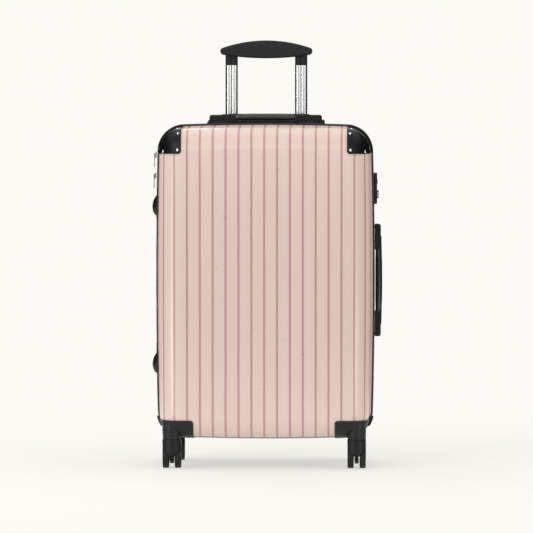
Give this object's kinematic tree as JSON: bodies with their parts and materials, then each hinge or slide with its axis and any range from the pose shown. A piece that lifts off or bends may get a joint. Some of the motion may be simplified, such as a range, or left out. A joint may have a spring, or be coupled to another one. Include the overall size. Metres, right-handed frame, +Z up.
{
  "type": "hard shell spinner suitcase",
  "caption": "Hard shell suitcase that opens like a book, with swivelling twin-wheel casters, a telescopic trolley handle, carry handles and a combination lock.",
  "frame": {"origin": "on the floor, in the middle of the case's width, in the plane of the zip seam", "axes": "+Z up; the printed front half faces -Y; the hinge is on -X and the lock and side handle on +X"},
  "size_m": [0.4547, 0.27, 0.8417],
  "materials": {
    "pink_shell": "satin polycarbonate, blush pink with mauve pinstripes",
    "black_shell": "satin polycarbonate, black",
    "black_trim": "satin, black",
    "grip_plastic": "matt, black",
    "button_plastic": "satin",
    "caster_plastic": "fine grained",
    "wheel_rubber": "matt",
    "seam_cloth": "woven",
    "zip_coil": "nylon coil",
    "chrome": "polished",
    "dial_metal": "dark satin",
    "tube_metal": "bright anodised",
    "spring_steel": "brushed",
    "lining_cloth": "fine twill",
    "strap_web": "ribbed webbing"
  },
  "bodies": {
    "case": {"rear_shell": "black_shell", "rear_seam_tape": "seam_cloth", "rear_zip_coil": "zip_coil", "fabric_hinge": "seam_cloth", "rear_corner_guards": "black_trim", "rear_rivets": "chrome", "rear_wheel_cover_left": "black_trim", "rear_wheel_cover_right": "black_trim", "rear_side_feet": "black_trim", "trolley_bezel": "black_trim", "trolley_tube_base": "black_trim", "trolley_fixed_tubes": "tube_metal", "top_handle_brackets": "black_trim", "side_handle_brackets": "black_trim", "lock_body": "black_trim", "rear_lining": "lining_cloth", "packing_straps": "strap_web", "strap_buckle": "black_trim"},
    "lid": {"front_shell": "pink_shell", "front_seam_tape": "seam_cloth", "front_zip_coil": "zip_coil", "front_corner_guards": "black_trim", "front_rivets": "chrome", "front_wheel_cover_left": "black_trim", "front_wheel_cover_right": "black_trim", "front_side_feet": "black_trim", "front_lining": "lining_cloth"},
    "trolley_middle": {"trolley_middle_tubes": "tube_metal"},
    "trolley_top": {"trolley_inner_tubes": "tube_metal", "trolley_grip_sleeves": "grip_plastic", "trolley_grip": "grip_plastic"},
    "trolley_button": {"trolley_button": "button_plastic"},
    "top_handle": {"top_handle_grip": "grip_plastic", "top_handle_strip": "spring_steel"},
    "side_handle": {"side_handle_grip": "grip_plastic", "side_handle_strip": "spring_steel"},
    "lock_dial_1": {"lock_dial_1": "dial_metal"},
    "lock_dial_2": {"lock_dial_2": "dial_metal"},
    "lock_dial_3": {"lock_dial_3": "dial_metal"},
    "lock_release": {"lock_release_latch": "chrome"},
    "zip_slider_upper": {"zip_slider_upper": "chrome"},
    "zip_slider_lower": {"zip_slider_lower": "chrome"},
    "zip_pull_upper": {"zip_pull_upper": "chrome"},
    "zip_pull_lower": {"zip_pull_lower": "chrome"},
    "front_caster_left": {"front_fork_left": "caster_plastic", "front_axle_left": "spring_steel"},
    "front_wheel_left_a": {"front_wheel_left_a": "wheel_rubber"},
    "front_wheel_left_b": {"front_wheel_left_b": "wheel_rubber"},
    "front_caster_right": {"front_fork_right": "caster_plastic", "front_axle_right": "spring_steel"},
    "front_wheel_right_a": {"front_wheel_right_a": "wheel_rubber"},
    "front_wheel_right_b": {"front_wheel_right_b": "wheel_rubber"},
    "rear_caster_left": {"rear_fork_left": "caster_plastic", "rear_axle_left": "spring_steel"},
    "rear_wheel_left_a": {"rear_wheel_left_a": "wheel_rubber"},
    "rear_wheel_left_b": {"rear_wheel_left_b": "wheel_rubber"},
    "rear_caster_right": {"rear_fork_right": "caster_plastic", "rear_axle_right": "spring_steel"},
    "rear_wheel_right_a": {"rear_wheel_right_a": "wheel_rubber"},
    "rear_wheel_right_b": {"rear_wheel_right_b": "wheel_rubber"}
  },
  "joints": [
    {"name": "lid_hinge", "type": "hinge", "parent": "case", "child": "lid", "pos_m": [-0.227, 0, 0.3648], "axis": [0, 0, -1], "range_deg": [0, 180], "deforming": ["fabric_hinge"]},
    {"name": "trolley_middle_slide", "type": "slide", "parent": "case", "child": "trolley_middle", "axis": [0, 0, 1], "range_m": [0, 0.18]},
    {"name": "trolley_top_slide", "type": "slide", "parent": "trolley_middle", "child": "trolley_top", "axis": [0, 0, 1], "range_m": [-0.15, 0.041]},
    {"name": "trolley_button_press", "type": "slide", "parent": "trolley_top", "child": "trolley_button", "axis": [0, 0, -1], "range_m": [0, 0.004], "stiffness_N_per_m": 800, "springref_m": -0.002},
    {"name": "top_handle_lift", "type": "slide", "parent": "case", "child": "top_handle", "axis": [0, 0, 1], "range_m": [0, 0.009], "stiffness_N_per_m": 400, "springref_m": -0.004},
    {"name": "side_handle_lift", "type": "slide", "parent": "case", "child": "side_handle", "axis": [1, 0, 0], "range_m": [0, 0.009], "stiffness_N_per_m": 400, "springref_m": -0.004},
    {"name": "lock_release_slide", "type": "slide", "parent": "case", "child": "lock_release", "axis": [0, 0, 1], "range_m": [0, 0.004], "stiffness_N_per_m": 200, "springref_m": -0.002},
    {"name": "lock_dial_1_spin", "type": "hinge", "parent": "case", "child": "lock_dial_1", "pos_m": [0.2172, 0.029, 0.5304], "axis": [0, 0, 1], "continuous": true},
    {"name": "lock_dial_2_spin", "type": "hinge", "parent": "case", "child": "lock_dial_2", "pos_m": [0.2172, 0.029, 0.536], "axis": [0, 0, 1], "continuous": true},
    {"name": "lock_dial_3_spin", "type": "hinge", "parent": "case", "child": "lock_dial_3", "pos_m": [0.2172, 0.029, 0.5416], "axis": [0, 0, 1], "continuous": true},
    {"name": "zip_slider_upper_slide", "type": "slide", "parent": "case", "child": "zip_slider_upper", "axis": [-0.0254, 0, -0.9997], "range_m": [0, 0.006]},
    {"name": "zip_pull_upper_swing", "type": "hinge", "parent": "zip_slider_upper", "child": "zip_pull_upper", "pos_m": [-0.21977, 0, 0.615], "axis": [0, -1, 0], "range_deg": [-100, 0]},
    {"name": "zip_slider_lower_slide", "type": "slide", "parent": "case", "child": "zip_slider_lower", "axis": [-0.0178, 0, -0.9998], "range_m": [0, 0.072]},
    {"name": "zip_pull_lower_swing", "type": "hinge", "parent": "zip_slider_lower", "child": "zip_pull_lower", "pos_m": [-0.22074, 0, 0.574], "axis": [0, -1, 0], "range_deg": [-100, 0]},
    {"name": "front_caster_left_swivel", "type": "hinge", "parent": "lid", "child": "front_caster_left", "pos_m": [-0.182, -0.1045, 0.06], "axis": [0, 0, 1], "continuous": true},
    {"name": "front_wheel_left_a_spin", "type": "hinge", "parent": "front_caster_left", "child": "front_wheel_left_a", "pos_m": [-0.182, -0.0925, 0.025], "axis": [1, 0, 0], "continuous": true},
    {"name": "front_wheel_left_b_spin", "type": "hinge", "parent": "front_caster_left", "child": "front_wheel_left_b", "pos_m": [-0.182, -0.0925, 0.025], "axis": [1, 0, 0], "continuous": true},
    {"name": "front_caster_right_swivel", "type": "hinge", "parent": "lid", "child": "front_caster_right", "pos_m": [0.182, -0.1045, 0.06], "axis": [0, 0, 1], "continuous": true},
    {"name": "front_wheel_right_a_spin", "type": "hinge", "parent": "front_caster_right", "child": "front_wheel_right_a", "pos_m": [0.182, -0.0925, 0.025], "axis": [1, 0, 0], "continuous": true},
    {"name": "front_wheel_right_b_spin", "type": "hinge", "parent": "front_caster_right", "child": "front_wheel_right_b", "pos_m": [0.182, -0.0925, 0.025], "axis": [1, 0, 0], "continuous": true},
    {"name": "rear_caster_left_swivel", "type": "hinge", "parent": "case", "child": "rear_caster_left", "pos_m": [-0.182, 0.1045, 0.06], "axis": [0, 0, 1], "continuous": true},
    {"name": "rear_wheel_left_a_spin", "type": "hinge", "parent": "rear_caster_left", "child": "rear_wheel_left_a", "pos_m": [-0.182, 0.0925, 0.025], "axis": [1, 0, 0], "continuous": true},
    {"name": "rear_wheel_left_b_spin", "type": "hinge", "parent": "rear_caster_left", "child": "rear_wheel_left_b", "pos_m": [-0.182, 0.0925, 0.025], "axis": [1, 0, 0], "continuous": true},
    {"name": "rear_caster_right_swivel", "type": "hinge", "parent": "case", "child": "rear_caster_right", "pos_m": [0.182, 0.1045, 0.06], "axis": [0, 0, 1], "continuous": true},
    {"name": "rear_wheel_right_a_spin", "type": "hinge", "parent": "rear_caster_right", "child": "rear_wheel_right_a", "pos_m": [0.182, 0.0925, 0.025], "axis": [1, 0, 0], "continuous": true},
    {"name": "rear_wheel_right_b_spin", "type": "hinge", "parent": "rear_caster_right", "child": "rear_wheel_right_b", "pos_m": [0.182, 0.0925, 0.025], "axis": [1, 0, 0], "continuous": true}
  ]
}
